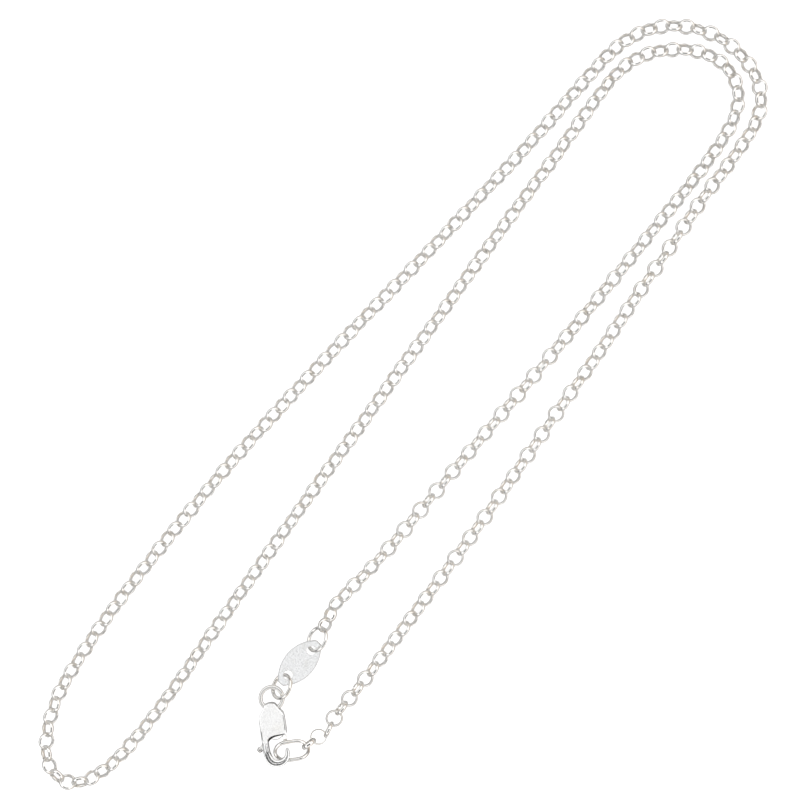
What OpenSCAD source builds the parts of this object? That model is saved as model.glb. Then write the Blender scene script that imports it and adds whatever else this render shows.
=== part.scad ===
// Rolo chain necklace, laid flat as a long double loop and closed by its clasp.
// Sizes are in millimetres and degrees. The loop runs along Y and lies on z = 0.

/* [Chain] */
// outside diameter of a link
link_diameter = 2.2; // [1.8:0.05:2.4]
// thickness of a link's wire, inside to outside
link_wire = 0.22; // [0.18:0.01:0.26]
// width of a link's wire along the link's own axis
link_band = 0.62; // [0.4:0.02:0.7]
// thickness that the domed wire keeps at its two edges
link_edge = 0.08; // [0.05:0.01:0.12]
// gap between two links that hang in each other
link_play = 0.1; // [0.08:0.01:0.16]
// gap between a loose end link and the run of chain
run_gap = 0.3; // [0.2:0.05:0.5]

/* [Tag] */
// length of the tag over its blunt tips
tag_length = 7.5; // [6.5:0.1:9]
// width of the tag at its middle
tag_width = 4.1; // [3.6:0.1:5]
// thickness of the tag
tag_thick = 0.35; // [0.3:0.05:0.5]
// distance between the tag's two holes
tag_hole_spacing = 4.45; // [3.8:0.05:4.6]
// diameter of each hole
tag_hole = 1.2; // [1.15:0.05:1.4]
// how far each pointed end would run on past the blunt tip
tag_point = 0.35; // [0.2:0.05:0.6]
// bevel round the tag's rim
tag_bevel = 0.08; // [0.04:0.01:0.12]

/* [Tag rings] */
// outside diameter of the two rings that carry the tag
tag_ring_diameter = 3.7; // [3.5:0.05:4]
// wire diameter of those rings
tag_ring_wire = 0.5; // [0.4:0.02:0.55]
// lean of those rings from lying flat
tag_ring_lean = 48; // [42:1:54]
// turn of those rings away from the strand, seen from above
tag_ring_turn = 10; // [8:1:14]
// turn of the tag the other way
tag_turn = 5; // [2:1:8]

/* [Clasp ring] */
// outside diameter of the ring in the clasp's tip
clasp_ring_diameter = 3.54; // [3.3:0.02:3.7]
// wire diameter of that ring
clasp_ring_wire = 0.6; // [0.5:0.02:0.64]
// width of the cut where that ring closes
clasp_ring_cut = 0.05; // [0.03:0.01:0.1]

/* [End ring] */
// outside length of the oval ring that the hook holds
end_ring_length = 4.95; // [4.8:0.05:5.4]
// outside width of that ring
end_ring_width = 3.7; // [3.6:0.05:3.9]
// wire diameter of that ring
end_ring_wire = 0.5; // [0.4:0.02:0.52]
// lean of that ring, low under the hook and high over the gate
end_ring_lean = 33.5; // [32:0.5:35]

/* [Clasp] */
// width of the clasp
clasp_width = 3.48; // [3.3:0.02:3.7]
// length of the plate, from the slit to the tip
plate_length = 4.3; // [4.2:0.05:4.6]
// length of the hook below the slit
hook_length = 4.27; // [4.2:0.05:4.5]
// thickness of the clasp
clasp_thick = 1.8; // [1.7:0.05:2]
// rounding of the plate's rim
plate_round = 0.22; // [0.1:0.02:0.3]
// height of the hook's bar where it turns back
hook_height = 0.86; // [0.7:0.02:0.9]
// rounding of the hook's bar
hook_round = 0.36; // [0.2:0.02:0.42]
// how far the tip's tunnel lies above the middle of the thickness
tunnel_lift = 0.14; // [0.1:0.02:0.2]
// room round the wire in the tip's tunnel
tunnel_room = 0.12; // [0.08:0.01:0.15]

/* [Lever] */
// thickness of the lever
lever_thick = 0.6; // [0.5:0.05:0.7]
// radius of the lever's hub
hub_radius = 1.15; // [1.05:0.01:1.2]
// width of the gate that closes the hook
gate_width = 0.48; // [0.4:0.02:0.52]
// width of the arm that carries the thumb nub
nub_arm = 0.52; // [0.4:0.02:0.6]
// diameter of the thumb nub
nub_diameter = 0.8; // [0.7:0.02:0.84]
// turn of the lever when the gate is fully open
lever_swing = 18; // [12:1:20]
// room between the lever and the walls beside it
lever_room = 0.1; // [0.07:0.01:0.14]
// gap between the closed gate and the hook's tip
gate_gap = 0.12; // [0.08:0.01:0.2]
// diameter of the pivot pin
pin_diameter = 0.6; // [0.5:0.02:0.66]
// room round the pin in its bores
pin_room = 0.05; // [0.04:0.01:0.06]

/* [Hidden] */

bright = [0.86, 0.86, 0.85];
satin = [0.78, 0.78, 0.77];

// where the clasp lies, and how far it is turned
clasp_at = [11.12, -43.49];
clasp_turn = 46.3;

function turned(p, a) = [p.x * cos(a) - p.y * sin(a), p.x * sin(a) + p.y * cos(a)];
function from_clasp(p) = clasp_at + turned(p, clasp_turn);
function unit(v) = v / norm(v);
function mix(a, b, t) = a + (b - a) * t;

// Clasp, in its own frame: +y runs to the tip, y = 0 is the slit under the plate.
half_width = clasp_width / 2;
mid_height = clasp_thick / 2;

// The body from its tip down the plate, along the slit and round the hook. Places are shares of the
// half width (x) and of the plate's or the hook's length (y); lift thins and raises the bar.
body_rows = [
  // outer x, outer y, inner x, inner y, lift
  [-0.2, 0.997, 0.2, 0.997, 0], [-0.38, 0.97, 0.38, 0.97, 0], [-0.5, 0.91, 0.5, 0.91, 0],
  [-0.6, 0.83, 0.6, 0.83, 0], [-0.78, 0.74, 0.78, 0.74, 0], [-0.93, 0.65, 0.93, 0.65, 0],
  [-0.985, 0.54, 0.985, 0.54, 0], [-1, 0.3, 1, 0.3, 0], [-1, 0.1, 0.99, 0.02, 0],
  [-1, 0.05, 0.7, 0.018, 0], [-1, 0, 0.4, 0.022, 0], [-1, -0.05, 0.05, 0.015, 0],
  [-1, -0.1, -0.22, -0.01, 0], [-1, -0.15, -0.42, -0.065, 0], [-1, -0.21, -0.52, -0.13, 0],
  [-1, -0.3, -0.535, -0.22, 0], [-1, -0.42, -0.525, -0.4, 0.04], [-0.995, -0.55, -0.49, -0.52, 0.15],
  [-0.96, -0.68, -0.43, -0.61, 0.35], [-0.86, -0.8, -0.34, -0.68, 0.6], [-0.68, -0.905, -0.22, -0.73, 0.85],
  [-0.42, -0.975, -0.1, -0.755, 1], [-0.1, -1, 0.04, -0.762, 1], [0.22, -0.985, 0.2, -0.755, 1],
  [0.5, -0.94, 0.36, -0.735, 1], [0.74, -0.86, 0.5, -0.695, 1], [0.91, -0.76, 0.6, -0.64, 1],
  [0.985, -0.64, 0.645, -0.585, 1], [0.98, -0.54, 0.66, -0.53, 1], [0.93, -0.475, 0.69, -0.478, 0.99],
  [0.86, -0.445, 0.75, -0.448, 0.97],
];
function share_place(x, y) = [x * half_width, y * (y > 0 ? plate_length : hook_length)];
bar_low = clasp_thick * 0.94 - hook_height;
hook_tip = body_rows[len(body_rows) - 1][1] * hook_length;

// Lever: pivot, gate and thumb nub in the clasp's frame
pivot = [0.2, 0.5];
gate_x = 0.76 * half_width;
gate_end = hook_tip + gate_gap + gate_width / 2;
gate_line = [[0.98, 0.1], [gate_x, -0.45], [gate_x, gate_end]];
nub_at = [-half_width - 0.42, -1.67];
nub_turn = atan2(nub_at.y - pivot.y, nub_at.x - pivot.x);
slot_height = lever_thick + 2 * lever_room;
pin_low = 0.05;
pin_high = clasp_thick - 0.28;

// Clasp ring: its lower arc runs through the tip
clasp_ring_mid = (clasp_ring_diameter - clasp_ring_wire) / 2;
tunnel_y = plate_length - 0.58 - clasp_ring_wire / 2;
clasp_ring_at = [0.35, tunnel_y + clasp_ring_mid];
clasp_ring_center = from_clasp(clasp_ring_at);

// Lower ring, tag, upper ring and two end links follow each other upwards from the clasp ring.
tag_ring_mid = (tag_ring_diameter - tag_ring_wire) / 2;
tag_level = tag_ring_mid * sin(tag_ring_lean) + tag_ring_wire / 2;
ring_play = 0.46;
hole_play = 0.12;
ring_way = [-sin(tag_ring_turn), cos(tag_ring_turn)];
tag_way = [sin(tag_turn), cos(tag_turn)];
lower_ring_at = clasp_ring_center
  + [0.1, clasp_ring_mid - (clasp_ring_wire + tag_ring_wire) / 2 - ring_play + tag_ring_mid];
tag_at = lower_ring_at + tag_ring_mid * ring_way + (hole_play + tag_hole_spacing / 2) * tag_way;
upper_ring_at = tag_at + (hole_play + tag_hole_spacing / 2) * tag_way + tag_ring_mid * ring_way;

// The flat inside of a link curves away by link_sag across the band that hangs in it.
link_hole = link_diameter / 2 - link_wire;
link_sag = link_hole - sqrt(link_hole * link_hole - link_band * link_band / 4);
link_step = 2 * (link_hole - link_sag) - link_play;
tag_link_1 = upper_ring_at + (tag_ring_mid + link_hole - tag_ring_wire / 2 - link_play) * ring_way;
tag_link_2 = tag_link_1 + link_step * ring_way;

// End ring: low bar under the hook, high bar over the gate
end_mid_x = (end_ring_length - end_ring_wire) / 2;
end_mid_y = (end_ring_width - end_ring_wire) / 2;
end_ring_at = [2, -2.36];
end_ring_z = end_mid_y * sin(end_ring_lean) + end_ring_wire / 2;
// point of that ring where the chain's last link hangs
catch_angle = 20;
catch = [end_mid_x - end_mid_y + end_mid_y * cos(catch_angle), end_mid_y * sin(catch_angle)];
catch_at = from_clasp(end_ring_at + [catch.x, catch.y * cos(end_ring_lean)]);
chain_lead = [0.28, 0.96];
end_link_1 = catch_at + unit(chain_lead) * (link_hole - end_ring_wire / 2 - link_play) * 0.5;
end_link_2 = end_link_1 + unit(chain_lead) * link_step;
chain_level = link_diameter / 2;

// The run of chain: hand-chosen points from the tag, round the loop and back to the clasp.
route = [
  [7.8, -15.6], [8.1, -6.3], [8.5, 4.2], [8.9, 14.5], [9.2, 24.5], [9.4, 34], [9.5, 42], [9.6, 48],
  [9.5, 52], [9.3, 55.2], [8.9, 57.6], [8.1, 59.7], [6.9, 61.3], [5, 62.4], [2.8, 62.8], [0.6, 62.4],
  [-1.4, 61.5], [-3.2, 60.1], [-4.8, 58.5], [-6, 56.6], [-6.8, 54.4], [-7.1, 51.5], [-7, 46.5], [-6.7, 40],
  [-6.5, 32], [-6.2, 23], [-5.8, 14], [-5.5, 5], [-5.1, -4], [-4.8, -13], [-4.4, -22], [-4, -30.5],
  [-3.6, -38.5], [-3.2, -45.5], [-3, -51.5], [-3.1, -56.5], [-3.5, -59.8], [-4.3, -62.5], [-5.5, -64.4],
  [-7, -65.3], [-8.7, -65.3], [-10.6, -64.4], [-12.3, -62.3], [-13.7, -59.6], [-14.8, -56], [-15.5, -50.5],
  [-15.9, -44], [-16, -37], [-15.9, -28.8], [-15.6, -19.5], [-15, -10.5], [-14.3, -2], [-13.5, 6.5],
  [-12.6, 15], [-11.8, 23], [-11.1, 31], [-10.4, 39], [-10, 46], [-9.7, 51], [-9.35, 55], [-8.5, 58],
  [-7, 60.7], [-4.9, 62.8], [-2.3, 64.3], [0.5, 65.2], [3.2, 65.3], [6.1, 64.8], [8.6, 63.6], [10.4, 61.8],
  [11.4, 59.4], [11.8, 56.5], [12, 52.4], [12.1, 47], [12.6, 40], [13.1, 32], [13.8, 22.7], [14.3, 13],
  [14.9, 3.5], [15.4, -6], [15.7, -15.5], [15.9, -24.5], [16, -31.5], [15.9, -36],
];
tag_run_end = tag_link_2 + [0, link_diameter / 2 + run_gap];
clasp_run_end = end_link_2 + unit(chain_lead) * (link_diameter / 2 + run_gap);
run = [for (p = concat([tag_run_end], route, [clasp_run_end])) [p.x, p.y, chain_level]];
run_sides = 12;

// A round bar swept through points; both ends are capped.
module bar(points, radius, sides) {
  n = len(points);
  rings = [for (i = [0:n - 1])
    let (way = unit(points[min(n - 1, i + 1)] - points[max(0, i - 1)]), side = unit(cross(way, [0, 0, 1])),
         up = cross(side, way))
    for (j = [0:sides - 1]) points[i] + radius * (side * cos(360 * j / sides) + up * sin(360 * j / sides))];
  skin = [for (i = [0:n - 2], j = [0:sides - 1])
    let (k = (j + 1) % sides, a = i * sides, b = a + sides) [a + j, a + k, b + k, b + j]];
  polyhedron(rings, concat(skin, [[for (j = [sides - 1:-1:0]) j], [for (j = [0:sides - 1]) (n - 1) * sides + j]]));
}

// One chain link in its own plane: flat inside, domed outside.
module link() {
  rise = link_wire - link_edge;
  dome = (pow(link_band / 2, 2) + rise * rise) / (2 * rise);
  rotate_extrude($fn = 64) intersection() {
    translate([link_diameter / 2 - link_wire, -link_band / 2]) square([link_wire, link_band]);
    translate([link_diameter / 2 - dome, 0]) circle(r = dome, $fn = 64);
  }
}

module round_ring(mid, wire) {
  rotate_extrude($fn = 96) translate([mid, 0]) circle(d = wire, $fn = 32);
}

module place_clasp() {
  translate([clasp_at.x, clasp_at.y, 0]) rotate([0, 0, clasp_turn]) children();
}

module chain() {
  color(bright) bar(run, link_diameter / 2, run_sides);
}

// The first link hangs across the upper tag ring, the next across the first.
module tag_end_link(i) {
  at = i == 1 ? tag_link_1 : tag_link_2;
  color(bright) translate([at.x, at.y, tag_level])
    rotate([0, 0, tag_ring_turn]) rotate([0, (i == 1 ? 90 : 0) - tag_ring_lean, 0]) link();
}

module clasp_end_link(i) {
  at = i == 1 ? end_link_1 : end_link_2;
  color(bright) translate([at.x, at.y, chain_level + (i == 1 ? 0.06 : 0)])
    rotate([0, 0, atan2(chain_lead.y, chain_lead.x)]) rotate([i == 1 ? 90 : 0, 0, 0]) link();
}

module tag_ring(at) {
  color(bright) translate([at.x, at.y, tag_level]) rotate([0, 0, tag_ring_turn])
    rotate([0, -tag_ring_lean, 0]) round_ring(tag_ring_mid, tag_ring_wire);
}

module tag() {
  half = tag_length / 2 + tag_point;
  bow = (half * half + tag_width * tag_width / 4) / tag_width;
  color(satin) translate([tag_at.x, tag_at.y, tag_level - tag_thick / 2]) rotate([0, 0, -tag_turn]) difference() {
    intersection() {
      translate([tag_width / 2 - bow, 0, 0]) disc(bow);
      translate([bow - tag_width / 2, 0, 0]) disc(bow);
      disc(tag_length / 2);
    }
    for (s = [-1, 1]) translate([0, s * tag_hole_spacing / 2, -1])
      cylinder(d = tag_hole, h = tag_thick + 2, $fn = 48);
  }
}

// A disc of the tag's thickness with its rim bevelled.
module disc(radius) {
  rotate_extrude($fn = 180) polygon([[0, 0], [radius - tag_bevel, 0], [radius, tag_bevel],
    [radius, tag_thick - tag_bevel], [radius - tag_bevel, tag_thick], [0, tag_thick]]);
}

module clasp_ring() {
  color(bright) translate([clasp_ring_center.x, clasp_ring_center.y, mid_height + tunnel_lift]) difference() {
    round_ring(clasp_ring_mid, clasp_ring_wire);
    rotate([0, 0, 38]) translate([0, -clasp_ring_cut / 2, -clasp_ring_wire])
      cube([clasp_ring_diameter, clasp_ring_cut, 2 * clasp_ring_wire]);
  }
}

// Plate and hook in one: a rounded rectangle carried from row to row
module plate_and_hook() {
  arc = 2;
  m = 4 * (arc + 1);
  n = len(body_rows);
  points = [for (r = body_rows, c = [0:3], s = [0:arc])
    let (outer = share_place(r[0], r[1]), inner = share_place(r[2], r[3]), across = unit(outer - inner),
         low = mix(0, bar_low, r[4]), high = mix(clasp_thick, bar_low + hook_height, r[4]),
         half = norm(outer - inner) / 2, tall = (high - low) / 2,
         round = min(mix(plate_round, hook_round, r[4]), half * 0.9, tall * 0.9),
         a = 90 * c + 90 * s / arc,
         x = (c == 0 || c == 3 ? 1 : -1) * (half - round) + round * cos(a),
         z = (c < 2 ? 1 : -1) * (tall - round) + round * sin(a))
    [each (outer + inner) / 2 + across * x, (low + high) / 2 + z]];
  skin = [for (i = [0:n - 2], j = [0:m - 1])
    let (k = (j + 1) % m, a = i * m, b = a + m) [a + j, a + k, b + k, b + j]];
  polyhedron(points, concat(skin, [[for (j = [m - 1:-1:0]) j], [for (j = [0:m - 1]) (n - 1) * m + j]]));
}

// Room that the lever sweeps through, between the clasp's two faces
module lever_slot() {
  reach = 3.2;
  room = nub_arm / 2 + lever_room;
  closed = [cos(nub_turn), sin(nub_turn)];
  open = [cos(nub_turn - lever_swing), sin(nub_turn - lever_swing)];
  translate([0, 0, mid_height - slot_height / 2]) linear_extrude(slot_height) {
    translate(pivot) circle(r = hub_radius + lever_room, $fn = 72);
    polygon([pivot + room * [-closed.y, closed.x], pivot + room * [-closed.y, closed.x] + reach * closed,
             pivot + room * [open.y, -open.x] + reach * open, pivot + room * [open.y, -open.x]]);
  }
}

module clasp_body() {
  color(satin) place_clasp() difference() {
    plate_and_hook();
    lever_slot();
    translate([clasp_ring_at.x, clasp_ring_at.y, mid_height + tunnel_lift])
      round_ring(clasp_ring_mid, clasp_ring_wire + 2 * tunnel_room);
    translate([pivot.x, pivot.y, -1]) cylinder(d = pin_diameter + 2 * pin_room, h = pin_high + 1 + pin_room, $fn = 48);
  }
}

// A flat stroke with round ends through two or more points
module stroke(line, width) {
  for (p = line) translate(p) circle(d = width, $fn = 32);
  for (i = [0:len(line) - 2]) let (d = line[i + 1] - line[i])
    translate(line[i]) rotate(atan2(d.y, d.x)) translate([0, -width / 2]) square([norm(d), width]);
}

module clasp_lever() {
  color(bright) place_clasp() difference() {
    union() {
      translate([0, 0, mid_height - lever_thick / 2]) linear_extrude(lever_thick) {
        translate(pivot) circle(r = hub_radius, $fn = 72);
        stroke(gate_line, gate_width);
        stroke([pivot, nub_at], nub_arm);
      }
      translate([nub_at.x, nub_at.y, mid_height]) sphere(d = nub_diameter, $fn = 40);
    }
    translate([pivot.x, pivot.y, -1]) cylinder(d = pin_diameter + 2 * pin_room, h = clasp_thick + 2, $fn = 48);
  }
}

module clasp_pin() {
  color(bright) place_clasp() translate([pivot.x, pivot.y, pin_low])
    cylinder(d = pin_diameter, h = pin_high - pin_low, $fn = 48);
}

// The oval ring: two half rings and two straight bars
module end_ring() {
  half = end_mid_x - end_mid_y;
  color(bright) place_clasp() translate([end_ring_at.x, end_ring_at.y, end_ring_z])
    rotate([end_ring_lean, 0, 0]) {
      for (s = [-1, 1]) {
        translate([s * half, 0, 0]) rotate([0, 0, s * 90 - 180]) rotate_extrude(angle = 180, $fn = 96)
          translate([end_mid_y, 0]) circle(d = end_ring_wire, $fn = 32);
        translate([-half, s * end_mid_y, 0]) rotate([0, 90, 0])
          cylinder(d = end_ring_wire, h = 2 * half, $fn = 32);
      }
    }
}

chain();
tag_end_link(1);  // tag_end_link_1
tag_end_link(2);  // tag_end_link_2
clasp_end_link(1);  // clasp_end_link_1
clasp_end_link(2);  // clasp_end_link_2
tag_ring(upper_ring_at);  // tag_ring_upper
tag();
tag_ring(lower_ring_at);  // tag_ring_lower
clasp_ring();
clasp_body();
clasp_lever();
clasp_pin();
end_ring();
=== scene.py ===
import bmesh
import bpy
import math
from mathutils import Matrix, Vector


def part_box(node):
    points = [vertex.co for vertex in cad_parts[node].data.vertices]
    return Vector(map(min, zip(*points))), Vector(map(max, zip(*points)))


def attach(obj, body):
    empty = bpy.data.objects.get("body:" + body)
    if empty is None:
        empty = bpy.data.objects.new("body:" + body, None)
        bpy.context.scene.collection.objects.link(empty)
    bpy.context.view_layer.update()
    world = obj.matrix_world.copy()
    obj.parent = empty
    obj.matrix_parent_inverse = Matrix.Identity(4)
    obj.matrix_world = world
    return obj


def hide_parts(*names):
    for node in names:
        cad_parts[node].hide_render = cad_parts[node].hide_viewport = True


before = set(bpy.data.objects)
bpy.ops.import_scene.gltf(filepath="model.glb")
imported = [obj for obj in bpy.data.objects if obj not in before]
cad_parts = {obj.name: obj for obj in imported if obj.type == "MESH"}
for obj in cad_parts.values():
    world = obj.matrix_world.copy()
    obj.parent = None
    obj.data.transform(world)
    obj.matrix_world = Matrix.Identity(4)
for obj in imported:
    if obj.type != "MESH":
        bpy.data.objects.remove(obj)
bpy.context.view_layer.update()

mm = 0.001

# The loop is laid on a white table and looked at from straight above, turned 38 degrees.
view = {
    "turn": 38.0,            # degrees, the loop's long side against the picture's upright
    "centre": (-3.04, 1.58), # mm, the point under the camera
    "width": 105.6,          # mm of table across the picture
    "middle": 1.1,           # mm, the height at which that width holds
    "lens": 100.0,           # mm
    "sensor": 36.0,          # mm
    "clip": (0.01, 10.0),    # m
}


def makeCamera():
    data = bpy.data.cameras.new("tableCamera")
    data.lens = view["lens"]
    data.sensor_width = view["sensor"]
    data.clip_start, data.clip_end = view["clip"]
    camera = bpy.data.objects.new("tableCamera", data)
    bpy.context.scene.collection.objects.link(camera)
    height = view["lens"] / data.sensor_width * view["width"] * mm
    camera.location = (view["centre"][0] * mm, view["centre"][1] * mm, height + view["middle"] * mm)
    camera.rotation_euler = (0.0, 0.0, math.radians(view["turn"]))
    bpy.context.scene.camera = camera


# Node helpers
mixA, mixB, mixOut = 6, 7, 2 # a Mix node's colour sockets


def newNode(tree, kind, place, **values):
    node = tree.nodes.new(kind)
    node.location = place
    for name, value in values.items():
        if hasattr(node, name):
            setattr(node, name, value)
        else:
            node.inputs[name].default_value = value
    return node


def ramp(tree, place, stops):
    node = newNode(tree, "ShaderNodeValToRGB", place)
    spots = node.color_ramp.elements
    while len(spots) < len(stops):
        spots.new(0.5)
    for spot, (position, color) in zip(spots, stops):
        spot.position = position
        spot.color = (*color, 1.0) if isinstance(color, tuple) else (color, color, color, 1.0)
    return node


# Silver: a bright metal with fine wear in its gloss and a little warm tarnish in patches
silver = {
    "polished": {"color": (0.965, 0.955, 0.935), "tarnish": (0.88, 0.84, 0.78), "gloss": (0.05, 0.12),
                 "grain": 9000.0, "bump": 0.000008, "patch": 600.0},
    "satin": {"color": (0.95, 0.95, 0.945), "tarnish": (0.90, 0.89, 0.86), "gloss": (0.17, 0.24),
              "grain": 7000.0, "bump": 0.000008, "patch": 350.0},
    "tag": {"color": (0.87, 0.875, 0.88), "tarnish": (0.80, 0.80, 0.79), "gloss": (0.16, 0.25),
            "grain": 5000.0, "bump": 0.000012, "patch": 900.0},
}
silverWear = {
    "stain": (0.52, 0.78),  # the patches' noise, from clean to tarnished
    "grain": (0.35, 0.7),   # the grain's noise, from the glossier value to the duller
    "patchDetail": 3.0, "grainDetail": 4.0,
    "bumpStrength": 0.25,
}
# Marks on the clasp, in its own frame (mm): a painted dark reflection down the hook's middle and along the
# clasp's left edge, and painted shadow under the plate's lip
marks = {
    "at": (11.12, -43.49), "turn": 46.3,
    # an arc about hookMiddle, which fades out above hookUnder and towards the hook's tip
    "hookMiddle": (0.08, -2.55), "hookReach": 1.37, "hookLine": (0.0, 0.08),
    "hookUnder": (-0.75, -1.3), "hookTip": (1.45, 1.0), "hookReflectionTone": (0.17, 0.17, 0.175),
    "sideReflectionLine": (-1.58, -1.66), "sideReflectionShare": 0.6,
    # how far down the lever the painted shadow under the lip comes: shares of lipSpan along x, then y
    "lipShadeTone": (0.03, 0.03, 0.03), "lipSpan": (-1.0, 2.0), "lipEdge": 0.05, "lipShift": 1.0,
    "lip": [(0.0, -0.93), (0.107, -0.6), (0.217, -0.38), (0.333, -0.26), (0.467, -0.2), (0.593, -0.17),
            (0.85, -0.06), (1.0, -0.03)],
    "pivot": (0.2, 0.5), "rimFrom": (1.02, 1.1), "rimTo": (1.24, 1.17), "rimShare": 0.65,
    "nub": (-1.75, -1.85), "nubShare": 0.3,
}


def sums(tree, place, operation, first, second=0.0):
    node = newNode(tree, "ShaderNodeMath", place, operation=operation)
    for i, value in enumerate((first, second)):
        if isinstance(value, (int, float)):
            node.inputs[i].default_value = value
        else:
            tree.links.new(value, node.inputs[i])
    return node.outputs[0]


def fade(tree, place, value, start, stop):
    node = newNode(tree, "ShaderNodeMapRange", place)
    node.inputs["From Min"].default_value = start
    node.inputs["From Max"].default_value = stop
    tree.links.new(value, node.inputs["Value"])
    return node.outputs["Result"]


def claspPlace(tree, coords):
    grown = newNode(tree, "ShaderNodeVectorMath", (-1700, -600), operation="SCALE", Scale=1 / mm)
    moved = newNode(tree, "ShaderNodeVectorMath", (-1500, -600), operation="SUBTRACT")
    moved.inputs[1].default_value = (*marks["at"], 0.0)
    turned = newNode(tree, "ShaderNodeVectorRotate", (-1300, -600), rotation_type="Z_AXIS")
    turned.inputs["Angle"].default_value = -math.radians(marks["turn"])
    parts = newNode(tree, "ShaderNodeSeparateXYZ", (-1100, -600))
    tree.links.new(coords, grown.inputs[0])
    tree.links.new(grown.outputs[0], moved.inputs[0])
    tree.links.new(moved.outputs[0], turned.inputs["Vector"])
    tree.links.new(turned.outputs[0], parts.inputs[0])
    return parts.outputs["X"], parts.outputs["Y"]


# Painted reflection: a dark line down the hook's middle and a lighter grey one along the clasp's left edge,
# painted into the clasp's colour
def hookPaintedReflection(tree, coords):
    x, y = claspPlace(tree, coords)
    across = sums(tree, (-900, -500), "SUBTRACT", x, marks["hookMiddle"][0])
    along = sums(tree, (-900, -700), "SUBTRACT", y, marks["hookMiddle"][1])
    below = sums(tree, (-720, -700), "MINIMUM", along, 0.0)
    wide = sums(tree, (-720, -500), "POWER", sums(tree, (-810, -500), "ABSOLUTE", across), 2.0)
    tall = sums(tree, (-540, -700), "MULTIPLY", below, below)
    reach = sums(tree, (-360, -600), "SQRT", sums(tree, (-450, -600), "ADD", wide, tall))
    apart = sums(tree, (-270, -600), "SUBTRACT", reach, marks["hookReach"])
    off = sums(tree, (-180, -600), "ABSOLUTE", apart)
    line = fade(tree, (0, -600), off, marks["hookLine"][1], marks["hookLine"][0])
    under = fade(tree, (0, -800), y, *marks["hookUnder"])
    tip = fade(tree, (0, -1000), x, *marks["hookTip"])
    middle = sums(tree, (300, -700), "MULTIPLY", line, sums(tree, (150, -850), "MULTIPLY", under, tip))
    sideFade = fade(tree, (150, -1000), x, *marks["sideReflectionLine"])
    side = sums(tree, (300, -1000), "MULTIPLY", sideFade, marks["sideReflectionShare"])
    return sums(tree, (450, -800), "MAXIMUM", middle, side)


# Painted shadow: near black in the gap under the plate's lip where the lever goes in, with fainter painted
# shade round the lever's rim about its pivot and towards its left end
def lipPaintedShade(tree, coords):
    x, y = claspPlace(tree, coords)
    share = fade(tree, (-900, -500), x, *marks["lipSpan"])
    shift = marks["lipShift"] # a ramp can't hold values under 0
    low = ramp(tree, (-700, -500), [(spot, depth + shift) for spot, depth in marks["lip"]])
    tree.links.new(share, low.inputs["Fac"])
    shifted = sums(tree, (-350, -700), "ADD", y, shift)
    above = sums(tree, (-200, -600), "SUBTRACT", shifted, low.outputs["Color"])
    lip = fade(tree, (0, -600), above, -marks["lipEdge"], marks["lipEdge"])
    across = sums(tree, (-700, -900), "SUBTRACT", x, marks["pivot"][0])
    along = sums(tree, (-700, -1050), "SUBTRACT", y, marks["pivot"][1])
    square = sums(tree, (-350, -950), "ADD", sums(tree, (-500, -900), "MULTIPLY", across, across),
                  sums(tree, (-500, -1050), "MULTIPLY", along, along))
    reach = sums(tree, (-200, -950), "SQRT", square)
    rim = sums(tree, (150, -950), "MULTIPLY", fade(tree, (0, -900), reach, *marks["rimFrom"]),
               fade(tree, (0, -1150), reach, *marks["rimTo"]))
    nub = fade(tree, (0, -1400), x, *marks["nub"])
    faint = sums(tree, (450, -1000), "MAXIMUM", sums(tree, (300, -950), "MULTIPLY", rim, marks["rimShare"]),
                 sums(tree, (300, -1400), "MULTIPLY", nub, marks["nubShare"]))
    return sums(tree, (600, -800), "MAXIMUM", lip, faint)


def makeSilver(name, look, mark=None, tone=None):
    material = bpy.data.materials.new(name)
    material.use_nodes = True
    tree = material.node_tree
    tree.nodes.clear()
    out = newNode(tree, "ShaderNodeOutputMaterial", (900, 0))
    shader = newNode(tree, "ShaderNodeBsdfPrincipled", (600, 0))
    shader.inputs["Metallic"].default_value = 1.0
    tree.links.new(shader.outputs["BSDF"], out.inputs["Surface"])
    coords = newNode(tree, "ShaderNodeTexCoord", (-900, 0))
    patch = newNode(tree, "ShaderNodeTexNoise", (-600, 200), Scale=look["patch"],
                    Detail=silverWear["patchDetail"])
    tree.links.new(coords.outputs["Object"], patch.inputs["Vector"])
    clean, dull = silverWear["stain"]
    stain = ramp(tree, (-300, 250), [(clean, look["color"]), (dull, look["tarnish"])])
    tree.links.new(patch.outputs["Fac"], stain.inputs["Fac"])
    base = stain.outputs["Color"]
    # a mark, where given, paints shade or a dark reflection over the base colour in the given tone
    if mark:
        marked = newNode(tree, "ShaderNodeMix", (350, 250), data_type="RGBA")
        marked.inputs[mixB].default_value = (*tone, 1.0)
        tree.links.new(mark(tree, coords.outputs["Object"]), marked.inputs["Factor"])
        tree.links.new(base, marked.inputs[mixA])
        base = marked.outputs[mixOut]
    tree.links.new(base, shader.inputs["Base Color"])
    grain = newNode(tree, "ShaderNodeTexNoise", (-600, -150), Scale=look["grain"],
                    Detail=silverWear["grainDetail"])
    tree.links.new(coords.outputs["Object"], grain.inputs["Vector"])
    gloss = newNode(tree, "ShaderNodeMapRange", (-300, -50))
    gloss.inputs["From Min"].default_value, gloss.inputs["From Max"].default_value = silverWear["grain"]
    gloss.inputs["To Min"].default_value, gloss.inputs["To Max"].default_value = look["gloss"]
    tree.links.new(grain.outputs["Fac"], gloss.inputs["Value"])
    tree.links.new(gloss.outputs["Result"], shader.inputs["Roughness"])
    bump = newNode(tree, "ShaderNodeBump", (250, -250), Strength=silverWear["bumpStrength"])
    bump.inputs["Distance"].default_value = look["bump"]
    tree.links.new(grain.outputs["Fac"], bump.inputs["Height"])
    tree.links.new(bump.outputs["Normal"], shader.inputs["Normal"])
    return material


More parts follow.
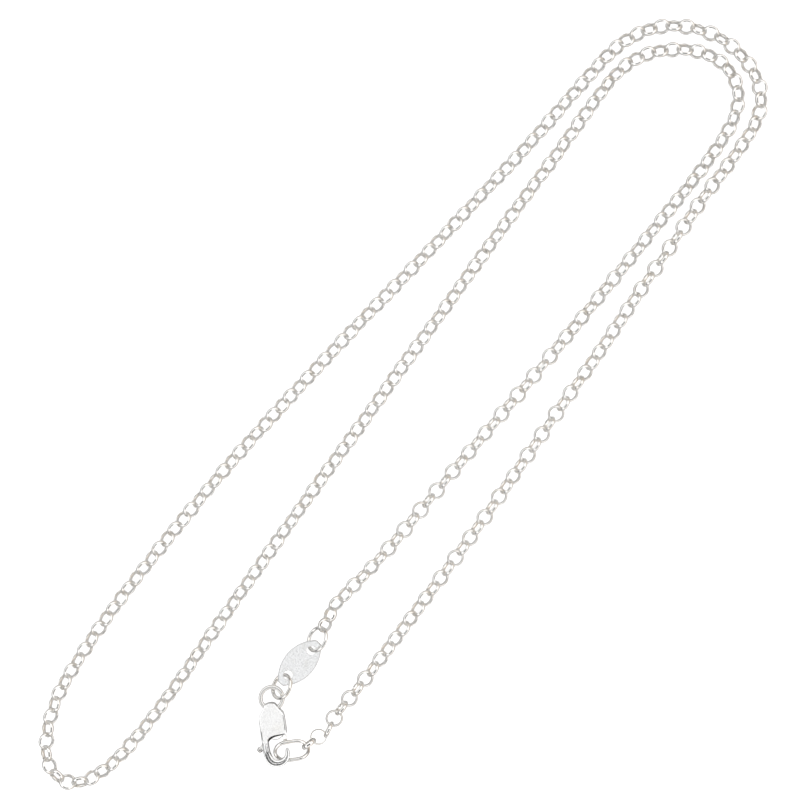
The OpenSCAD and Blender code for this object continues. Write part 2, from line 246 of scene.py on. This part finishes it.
# Chain: one link's form, and the route that the links follow
chainLook = {
    "diameter": 2.38, "wire": 0.32, "band": 0.6, "pitch": 1.66, # mm
    "level": 1.14,                # mm, the links' middle above the table
    "around": 24,                 # faces round a link
    "rollJitter": 7.0, "leanJitter": 3.0, "endRolls": (42.0, 88.0), # degrees
    "seed": 7, "leanSeedStep": 11.0,
    "smoothSteps": 8,             # pieces of line between two route points
}
# the wire's section, as shares of its thickness (out) and half band (along): flat inside, domed outside
wireSection = [(0.0, -0.75), (0.0, 0.0), (0.0, 0.75), (0.1, 0.93), (0.3, 1.0), (0.62, 0.82), (0.87, 0.5),
               (1.0, 0.0), (0.87, -0.5), (0.62, -0.82), (0.3, -1.0), (0.1, -0.93)]

# x, y in mm and the links' roll in degrees, from the tag round the loop to the clasp
route = [
    (7.8, -15.6, 30), (8.1, -6.3, 14), (8.5, 4.2, 30), (8.9, 14.5, 20), (9.2, 24.5, 34), (9.4, 34, 36),
    (9.5, 42, 40), (9.6, 48, 42), (9.5, 52, 45), (9.3, 55.2, 45), (8.9, 57.6, 45), (8.1, 59.7, 45),
    (6.9, 61.3, 45), (5, 62.4, 45), (2.8, 62.8, 45), (0.6, 62.4, 45), (-1.4, 61.5, 45),
    (-3.2, 60.1, 45), (-4.8, 58.5, 45), (-6, 56.6, 45), (-6.8, 54.4, 45), (-7.1, 51.5, 45),
    (-7, 46.5, 45), (-6.7, 40, 45), (-6.5, 32, 45), (-6.2, 23, 45), (-5.8, 14, 45), (-5.5, 5, 45),
    (-5.1, -4, 45), (-4.8, -13, 45), (-4.4, -22, 45), (-4, -30.5, 45), (-3.6, -38.5, 45),
    (-3.2, -45.5, 45), (-3, -51.5, 45), (-3.1, -56.5, 45), (-3.5, -59.8, 45), (-4.3, -62.5, 45),
    (-5.5, -64.4, 45), (-7, -65.3, 45), (-8.7, -65.3, 45), (-10.6, -64.4, 45), (-12.3, -62.3, 45),
    (-13.7, -59.6, 45), (-14.8, -56, 45), (-15.5, -50.5, 45), (-15.9, -44, 45), (-16, -37, 45),
    (-15.9, -28.8, 45), (-15.6, -19.5, 45), (-15, -10.5, 45), (-14.3, -2, 45), (-13.5, 6.5, 45),
    (-12.6, 15, 45), (-11.8, 23, 45), (-11.1, 31, 45), (-10.4, 39, 45), (-10, 46, 45), (-9.7, 51, 45),
    (-9.35, 55, 45), (-8.5, 58, 45), (-7, 60.7, 45), (-4.9, 62.8, 45), (-2.3, 64.3, 45),
    (0.5, 65.2, 45), (3.2, 65.3, 45), (6.1, 64.8, 45), (8.6, 63.6, 45), (10.4, 61.8, 45),
    (11.4, 59.4, 50), (11.8, 56.5, 54), (12, 52.4, 58), (12.1, 47, 62), (12.6, 40, 72), (13.1, 32, 62),
    (13.8, 22.7, 54), (14.3, 13, 70), (14.9, 3.5, 58), (15.4, -6, 72), (15.7, -15.5, 60),
    (15.9, -24.5, 56), (16, -31.5, 68), (15.9, -36, 82),
]


def linkForm():
    around = chainLook["around"]
    hole = (chainLook["diameter"] / 2 - chainLook["wire"]) * mm
    verts, faces = [], []
    for i in range(around):
        angle = 2 * math.pi * i / around
        for out, along in wireSection:
            reach = hole + out * chainLook["wire"] * mm
            across = along * chainLook["band"] / 2 * mm
            verts.append((reach * math.sin(angle), across, reach * math.cos(angle)))
    ring = len(wireSection)
    for i in range(around):
        for j in range(ring):
            a, b = i * ring, (i + 1) % around * ring
            k = (j + 1) % ring
            faces.append((a + j, b + j, b + k, a + k))
    mesh = bpy.data.meshes.new("linkForm")
    mesh.from_pydata(verts, [], faces)
    mesh.validate()
    for face in mesh.polygons:
        face.use_smooth = True
    return mesh


def middle(node):
    low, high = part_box(node)
    return (Vector(low) + Vector(high)) / 2


def chainPoints():
    firstLink, lastLink = middle("tag_end_link_2"), middle("clasp_end_link_2")
    step = chainLook["pitch"] * mm
    away = (firstLink - middle("tag_end_link_1")).normalized()
    back = (lastLink - middle("clasp_end_link_1")).normalized()
    points = [(firstLink + away * step, chainLook["endRolls"][0])]
    points += [(Vector((x * mm, y * mm, chainLook["level"] * mm)), float(roll)) for x, y, roll in route]
    flatBack = Vector((back.x, back.y, 0)).normalized()
    points.append((lastLink + flatBack * step, chainLook["endRolls"][1]))
    return points


def smoothLine(points, steps):
    line = []
    for i in range(len(points) - 1):
        a, b = points[max(0, i - 1)], points[i]
        c, d = points[i + 1], points[min(len(points) - 1, i + 2)]
        for s in range(steps):
            t = s / steps
            place = b[0] + (c[0] - a[0]) * t / 2 + (2 * a[0] - 5 * b[0] + 4 * c[0] - d[0]) * t * t / 2 \
                + (3 * b[0] - a[0] - 3 * c[0] + d[0]) * t ** 3 / 2
            line.append((place, b[1] + (c[1] - b[1]) * t))
    line.append(points[-1])
    return line


def routeCurve():
    line = smoothLine(chainPoints(), chainLook["smoothSteps"])
    curve = bpy.data.curves.new("chainRoute", "CURVE")
    curve.dimensions = "3D"
    curve.twist_mode = "Z_UP"
    spline = curve.splines.new("POLY")
    spline.points.add(len(line) - 1)
    for point, (place, roll) in zip(spline.points, line):
        point.co = (*place, 1.0)
        point.tilt = math.radians(roll)
    length = sum((line[i + 1][0] - line[i][0]).length for i in range(len(line) - 1))
    return curve, length


# Links on the route: each is turned a quarter against the last, with a little play
def chainTree(material):
    tree = bpy.data.node_groups.new("rolo links", "GeometryNodeTree")
    for name, kind in (("Geometry", "Geometry"), ("Link", "Object"), ("Links", "Int"),
                       ("Roll jitter", "Float"), ("Lean jitter", "Float"), ("Seed", "Int")):
        tree.interface.new_socket(name, in_out="INPUT", socket_type="NodeSocket" + kind)
    tree.interface.new_socket("Geometry", in_out="OUTPUT", socket_type="NodeSocketGeometry")
    start = newNode(tree, "NodeGroupInput", (-1200, 0))
    end = newNode(tree, "NodeGroupOutput", (1300, 0))
    spots = newNode(tree, "GeometryNodeCurveToPoints", (-900, 200), mode="COUNT")
    index = newNode(tree, "GeometryNodeInputIndex", (-900, -200))
    parity = newNode(tree, "ShaderNodeMath", (-700, -200), operation="MODULO")
    parity.inputs[1].default_value = 2.0
    quarter = newNode(tree, "ShaderNodeMath", (-500, -200), operation="MULTIPLY")
    quarter.inputs[1].default_value = math.pi / 2
    lowRoll = newNode(tree, "ShaderNodeMath", (-900, -400), operation="MULTIPLY")
    lowRoll.inputs[1].default_value = -1.0
    rollPlay = newNode(tree, "FunctionNodeRandomValue", (-500, -400), data_type="FLOAT")
    roll = newNode(tree, "ShaderNodeMath", (-250, -250), operation="ADD")
    lowLean = newNode(tree, "ShaderNodeMath", (-900, -650), operation="MULTIPLY")
    lowLean.inputs[1].default_value = -1.0
    leanSeed = newNode(tree, "ShaderNodeMath", (-700, -800), operation="ADD")
    leanSeed.inputs[1].default_value = chainLook["leanSeedStep"]
    leanPlay = newNode(tree, "FunctionNodeRandomValue", (-500, -650), data_type="FLOAT")
    turnRoll = newNode(tree, "ShaderNodeCombineXYZ", (-50, -250))
    turnLean = newNode(tree, "ShaderNodeCombineXYZ", (-50, -500))
    rolled = newNode(tree, "FunctionNodeRotateRotation", (200, 100), rotation_space="LOCAL")
    leaned = newNode(tree, "FunctionNodeRotateRotation", (400, 100), rotation_space="LOCAL")
    linkInfo = newNode(tree, "GeometryNodeObjectInfo", (300, -300), transform_space="ORIGINAL")
    rows = newNode(tree, "GeometryNodeInstanceOnPoints", (650, 100))
    real = newNode(tree, "GeometryNodeRealizeInstances", (850, 100))
    finish = newNode(tree, "GeometryNodeSetMaterial", (1050, 100))
    finish.inputs["Material"].default_value = material
    join = tree.links.new
    join(start.outputs["Geometry"], spots.inputs["Curve"])
    join(start.outputs["Links"], spots.inputs["Count"])
    join(index.outputs["Index"], parity.inputs[0])
    join(parity.outputs[0], quarter.inputs[0])
    join(start.outputs["Roll jitter"], lowRoll.inputs[0])
    join(lowRoll.outputs[0], rollPlay.inputs[2])
    join(start.outputs["Roll jitter"], rollPlay.inputs[3])
    join(start.outputs["Seed"], rollPlay.inputs["Seed"])
    join(start.outputs["Lean jitter"], lowLean.inputs[0])
    join(lowLean.outputs[0], leanPlay.inputs[2])
    join(start.outputs["Lean jitter"], leanPlay.inputs[3])
    join(start.outputs["Seed"], leanSeed.inputs[0])
    join(leanSeed.outputs[0], leanPlay.inputs["Seed"])
    join(quarter.outputs[0], roll.inputs[0])
    join(rollPlay.outputs[1], roll.inputs[1])
    join(roll.outputs[0], turnRoll.inputs["Z"])
    join(leanPlay.outputs[1], turnLean.inputs["X"])
    join(spots.outputs["Rotation"], rolled.inputs["Rotation"])
    join(turnRoll.outputs[0], rolled.inputs["Rotate By"])
    join(rolled.outputs["Rotation"], leaned.inputs["Rotation"])
    join(turnLean.outputs[0], leaned.inputs["Rotate By"])
    join(start.outputs["Link"], linkInfo.inputs["Object"])
    join(spots.outputs["Points"], rows.inputs["Points"])
    join(linkInfo.outputs["Geometry"], rows.inputs["Instance"])
    join(leaned.outputs["Rotation"], rows.inputs["Rotation"])
    join(rows.outputs["Instances"], real.inputs["Geometry"])
    join(real.outputs["Geometry"], finish.inputs["Geometry"])
    join(finish.outputs["Geometry"], end.inputs["Geometry"])
    return tree


def setInput(modifier, name, value):
    for item in modifier.node_group.interface.items_tree:
        if item.item_type == "SOCKET" and item.in_out == "INPUT" and item.name == name:
            modifier[item.identifier] = value


def makeChain(material):
    link = bpy.data.objects.new("linkForm", linkForm())
    bpy.context.scene.collection.objects.link(link)
    curve, length = routeCurve()
    maker = bpy.data.objects.new("chainMaker", curve)
    bpy.context.scene.collection.objects.link(maker)
    # an odd count, so that both ends cross their end links
    count = round(length / (chainLook["pitch"] * mm) / 2) * 2 + 1
    modifier = maker.modifiers.new("rolo links", "NODES")
    modifier.node_group = chainTree(material)
    setInput(modifier, "Link", link)
    setInput(modifier, "Links", count)
    setInput(modifier, "Roll jitter", math.radians(chainLook["rollJitter"]))
    setInput(modifier, "Lean jitter", math.radians(chainLook["leanJitter"]))
    setInput(modifier, "Seed", chainLook["seed"])
    graph = bpy.context.evaluated_depsgraph_get()
    mesh = bpy.data.meshes.new_from_object(maker.evaluated_get(graph), depsgraph=graph)
    mesh.name = "chainLinks"
    chain = bpy.data.objects.new("chainLinks", mesh)
    bpy.context.scene.collection.objects.link(chain)
    maker.modifiers.clear()
    bpy.data.objects.remove(maker)
    bpy.data.objects.remove(link)
    print("chain: %d links over %.1f mm, %d faces" % (count, length / mm, len(mesh.polygons)))
    return chain


# The clasp's body and the tag are redone from their solids, with edges worn soft by tumbling
softEdges = {
    "clasp_body": {"body": "necklace", "edge": 0.05, "sharp": 28.0},
    "tag": {"body": "necklace", "edge": 0.04, "sharp": 28.0},
}
edgeWork = {"merge": 0.0005, "flat": 0.5, "segments": 3} # mm, degrees, faces round an edge


def softened(name, look, material):
    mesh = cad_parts[name].data.copy()
    mesh.name = name + "Soft"
    form = bmesh.new()
    form.from_mesh(mesh)
    bmesh.ops.remove_doubles(form, verts=form.verts, dist=edgeWork["merge"] * mm)
    flat = math.radians(edgeWork["flat"])
    bmesh.ops.dissolve_limit(form, angle_limit=flat, verts=form.verts, edges=form.edges)
    form.to_mesh(mesh)
    form.free()
    for face in mesh.polygons:
        face.use_smooth = True
    mesh.set_sharp_from_angle(angle=math.radians(look["sharp"]))
    mesh.materials.clear()
    mesh.materials.append(material)
    piece = bpy.data.objects.new(name + "Soft", mesh)
    bpy.context.scene.collection.objects.link(piece)
    bevel = piece.modifiers.new("soft edge", "BEVEL")
    bevel.width = look["edge"] * mm
    bevel.segments = edgeWork["segments"]
    bevel.limit_method = "ANGLE"
    bevel.angle_limit = math.radians(look["sharp"])
    even = piece.modifiers.new("even normals", "WEIGHTED_NORMAL")
    even.keep_sharp = True
    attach(piece, look["body"])
    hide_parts(name)
    return piece


# Table and light: a white table in a pale tent, darker towards its foot and in a ring round the lens
studio = {
    "table": 3.0,          # m
    "tableWhite": (0.76, 0.76, 0.76),
    "tableGlow": 0.9,
    "tableRough": 0.7,
    "tableLow": -0.02,     # mm, just under the necklace
    "sky": 1.2,
    "backdrop": (0.88, 0.88, 0.88),
    "lensAt": (0.048, -0.152, 0.987),  # the dark ring round the lens, as the clasp mirrors it
    "lensRing": [(0.845, 1.0), (0.885, 0.02), (0.983, 0.02), (0.992, 1.0)],
    "coolSide": (-0.788, -0.616, 0.0), # towards the picture's left
    "sideBlend": 0.6,      # how far to either side the cool and warm tents mix
    # the sine of the height above the horizon, and the tent's shade there
    "coolTent": [(0.0, (0.50, 0.495, 0.49)), (0.1, (0.20, 0.20, 0.205)), (0.26, (0.11, 0.112, 0.12)),
                 (0.36, (0.55, 0.555, 0.565)), (0.44, 1.0), (1.0, 1.0)],
    "warmTent": [(0.0, (0.66, 0.58, 0.49)), (0.1, (0.47, 0.39, 0.31)), (0.26, (0.36, 0.30, 0.24)),
                 (0.36, (0.74, 0.69, 0.63)), (0.44, 1.0), (1.0, 1.0)],
}


def makeTable():
    mesh = bpy.data.meshes.new("tableTop")
    half, low = studio["table"] / 2, studio["tableLow"] * mm
    corners = [(-half, -half, low), (half, -half, low), (half, half, low), (-half, half, low)]
    mesh.from_pydata(corners, [], [(0, 1, 2, 3)])
    table = bpy.data.objects.new("tableTop", mesh)
    bpy.context.scene.collection.objects.link(table)
    material = bpy.data.materials.new("white table")
    material.use_nodes = True
    shader = material.node_tree.nodes["Principled BSDF"]
    shader.inputs["Base Color"].default_value = (*studio["tableWhite"], 1.0)
    shader.inputs["Roughness"].default_value = studio["tableRough"]
    # lit from behind for the eye alone, so that the silver still mirrors a plain paper table
    tree = material.node_tree
    rays = newNode(tree, "ShaderNodeLightPath", (-500, -200))
    glow = newNode(tree, "ShaderNodeMath", (-250, -200), operation="MULTIPLY")
    glow.inputs[1].default_value = studio["tableGlow"]
    tree.links.new(rays.outputs["Is Camera Ray"], glow.inputs[0])
    tree.links.new(glow.outputs[0], shader.inputs["Emission Strength"])
    shader.inputs["Emission Color"].default_value = (1.0, 1.0, 1.0, 1.0)
    mesh.materials.append(material)


def makeTent():
    bpy.context.scene.view_settings.view_transform = "Standard" # keeps the table a clean white
    world = bpy.data.worlds.new("white tent")
    bpy.context.scene.world = world
    world.use_nodes = True
    tree = world.node_tree
    tree.nodes.clear()
    out = newNode(tree, "ShaderNodeOutputWorld", (900, 0))
    sky = newNode(tree, "ShaderNodeBackground", (700, 0), Strength=studio["sky"])
    coords = newNode(tree, "ShaderNodeTexCoord", (-600, 0))
    parts = newNode(tree, "ShaderNodeSeparateXYZ", (-400, 150))
    side = newNode(tree, "ShaderNodeVectorMath", (-400, -150), operation="DOT_PRODUCT")
    side.inputs[1].default_value = studio["coolSide"]
    share = newNode(tree, "ShaderNodeMapRange", (-150, -150))
    share.inputs["From Min"].default_value = -studio["sideBlend"]
    share.inputs["From Max"].default_value = studio["sideBlend"]
    cool = ramp(tree, (-150, 400), studio["coolTent"])
    warm = ramp(tree, (-150, 150), studio["warmTent"])
    blend = newNode(tree, "ShaderNodeMix", (400, 0), data_type="RGBA")
    tree.links.new(coords.outputs["Generated"], parts.inputs[0])
    tree.links.new(coords.outputs["Generated"], side.inputs[0])
    tree.links.new(side.outputs["Value"], share.inputs["Value"])
    tree.links.new(parts.outputs["Z"], cool.inputs["Fac"])
    tree.links.new(parts.outputs["Z"], warm.inputs["Fac"])
    tree.links.new(share.outputs["Result"], blend.inputs["Factor"])
    tree.links.new(warm.outputs["Color"], blend.inputs[mixA])
    tree.links.new(cool.outputs["Color"], blend.inputs[mixB])
    lens = newNode(tree, "ShaderNodeVectorMath", (-400, -400), operation="DOT_PRODUCT")
    lens.inputs[1].default_value = studio["lensAt"]
    ring = ramp(tree, (-150, -400), studio["lensRing"])
    shaded = newNode(tree, "ShaderNodeMix", (550, -100), data_type="RGBA", blend_type="MULTIPLY")
    shaded.inputs["Factor"].default_value = 1.0
    tree.links.new(coords.outputs["Generated"], lens.inputs[0])
    tree.links.new(lens.outputs["Value"], ring.inputs["Fac"])
    tree.links.new(ring.outputs["Color"], shaded.inputs[mixB])
    tree.links.new(blend.outputs[mixOut], shaded.inputs[mixA])
    rays = newNode(tree, "ShaderNodeLightPath", (200, 300))
    seen = newNode(tree, "ShaderNodeMix", (550, 200), data_type="RGBA")
    seen.inputs[mixB].default_value = (*studio["backdrop"], 1.0)
    tree.links.new(rays.outputs["Is Camera Ray"], seen.inputs["Factor"])
    tree.links.new(shaded.outputs[mixOut], seen.inputs[mixA])
    tree.links.new(seen.outputs[mixOut], sky.inputs["Color"])
    tree.links.new(sky.outputs["Background"], out.inputs["Surface"])


print("camera")
makeCamera()
print("materials")
polished = makeSilver("polished silver", silver["polished"])
# the clasp body's satin silver, with the hook's painted dark reflection
claspSatin = makeSilver("satin silver, clasp", silver["satin"], hookPaintedReflection, marks["hookReflectionTone"])
tagSatin = makeSilver("satin silver, tag", silver["tag"])
# the lever's polished silver, with painted shadow under the plate's lip
leverSilver = makeSilver("polished silver, painted shade under the lip", silver["polished"],
                         lipPaintedShade, marks["lipShadeTone"])
print("chain")
chain = makeChain(polished)
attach(chain, "necklace")
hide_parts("chain")
print("clasp, rings and tag")
for name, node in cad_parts.items():
    if name not in ("chain", *softEdges):
        node.data.materials.clear()
        node.data.materials.append(leverSilver if name == "clasp_lever" else polished)
for name, look in softEdges.items():
    softened(name, look, claspSatin if name == "clasp_body" else tagSatin)
print("table and light")
makeTable()
makeTent()
